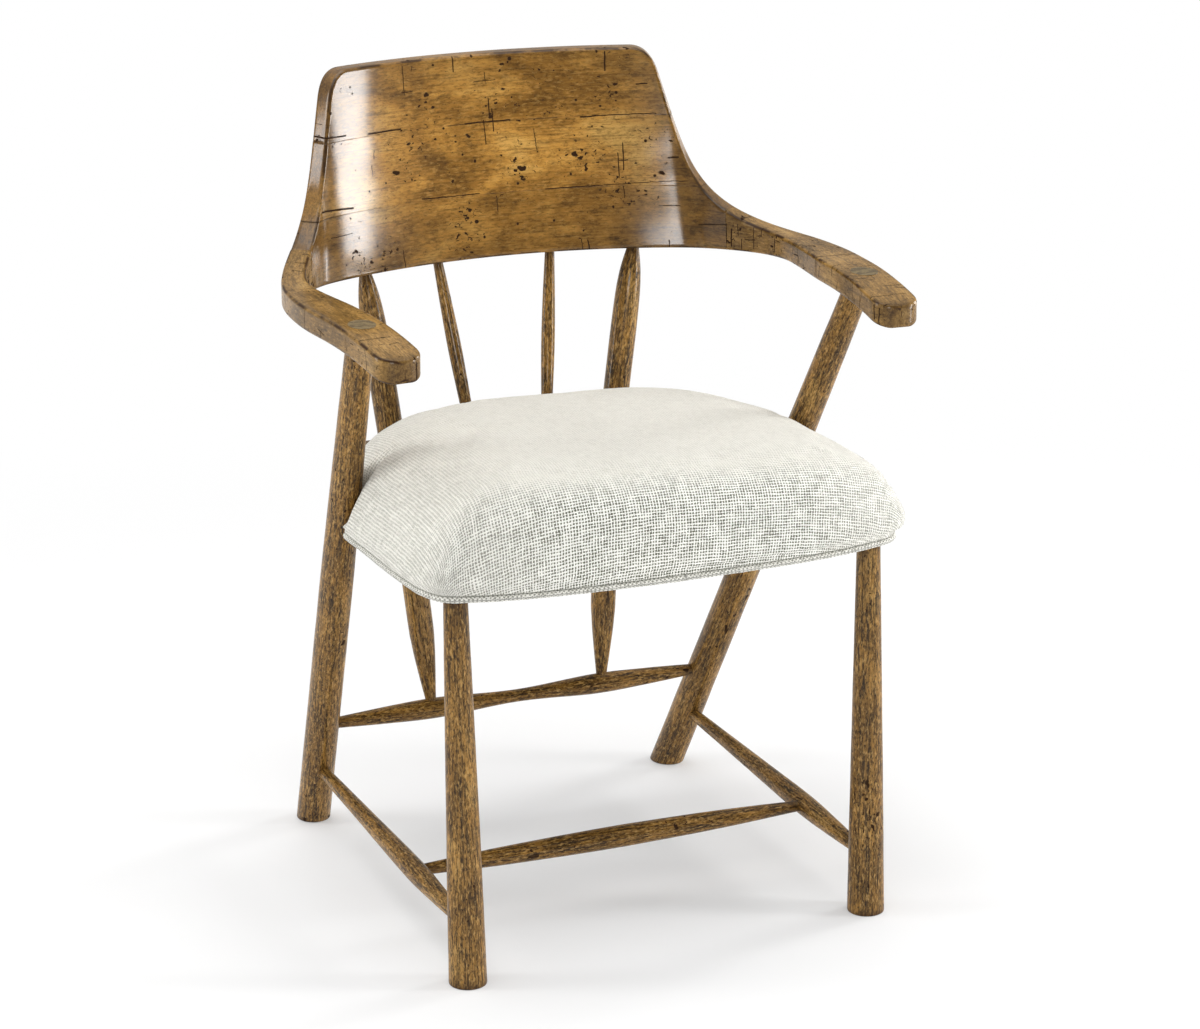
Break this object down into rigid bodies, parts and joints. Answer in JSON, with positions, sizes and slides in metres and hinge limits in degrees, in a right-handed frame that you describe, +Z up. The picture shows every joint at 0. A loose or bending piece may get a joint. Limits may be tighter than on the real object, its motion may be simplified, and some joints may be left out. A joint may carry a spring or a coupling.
{
  "type": "captains chair",
  "caption": "Captain's chair with a curved board back flowing into swept arms, raked posts, turned legs, stretchers and spindles, and a domed upholstered seat.",
  "frame": {"origin": "on the floor, below the middle of the chair's width and depth", "axes": "+Z up, -Y the front of the chair, +X the sitter's left"},
  "size_m": [0.6146, 0.5484, 0.8442],
  "materials": {
    "back_wood": "satin lacquer over distressed golden-brown stain",
    "arm_wood": "satin lacquer over distressed golden-brown stain",
    "turned_wood": "satin lacquer over distressed brown stain",
    "frame_wood": "planed and unfinished",
    "plywood": "sanded, unfinished",
    "linen": "ivory slub linen, plain weave",
    "foam": "open-cell upholstery foam",
    "dust_cloth": "black non-woven cloth",
    "steel": "plain zinc-plated"
  },
  "bodies": {
    "root": {"front_leg_left": "turned_wood", "front_leg_right": "turned_wood", "rear_leg_left": "turned_wood", "rear_leg_right": "turned_wood", "leg_insert_left": "steel", "leg_insert_right": "steel", "leg_bolt_left": "steel", "leg_bolt_right": "steel", "side_stretcher_left": "turned_wood", "side_stretcher_right": "turned_wood", "cross_stretcher": "turned_wood", "rear_stretcher": "turned_wood", "strut_left": "turned_wood", "strut_right": "turned_wood", "back_post_left": "turned_wood", "back_post_right": "turned_wood", "spindle_left": "turned_wood", "spindle_right": "turned_wood", "spindle_rail": "turned_wood", "rail_bolt_left": "steel", "rail_bolt_right": "steel", "back_board_lower": "back_wood", "back_board_middle": "back_wood", "back_board_upper": "back_wood", "arm_left": "arm_wood", "arm_right": "arm_wood", "arm_tongue_left": "frame_wood", "arm_tongue_right": "frame_wood", "seat_rail_front": "frame_wood", "seat_rail_rear": "frame_wood", "seat_rail_left": "frame_wood", "seat_rail_right": "frame_wood", "seat_deck": "plywood", "corner_block_front_left": "frame_wood", "corner_block_front_right": "frame_wood", "seat_screw_front_left": "steel", "seat_screw_front_right": "steel", "corner_block_rear_left": "frame_wood", "corner_block_rear_right": "frame_wood", "seat_screw_rear_left": "steel", "seat_screw_rear_right": "steel", "seat_cover": "linen", "seat_foam": "foam", "seat_welt": "linen", "dust_cover": "dust_cloth"}
  },
  "joints": []
}
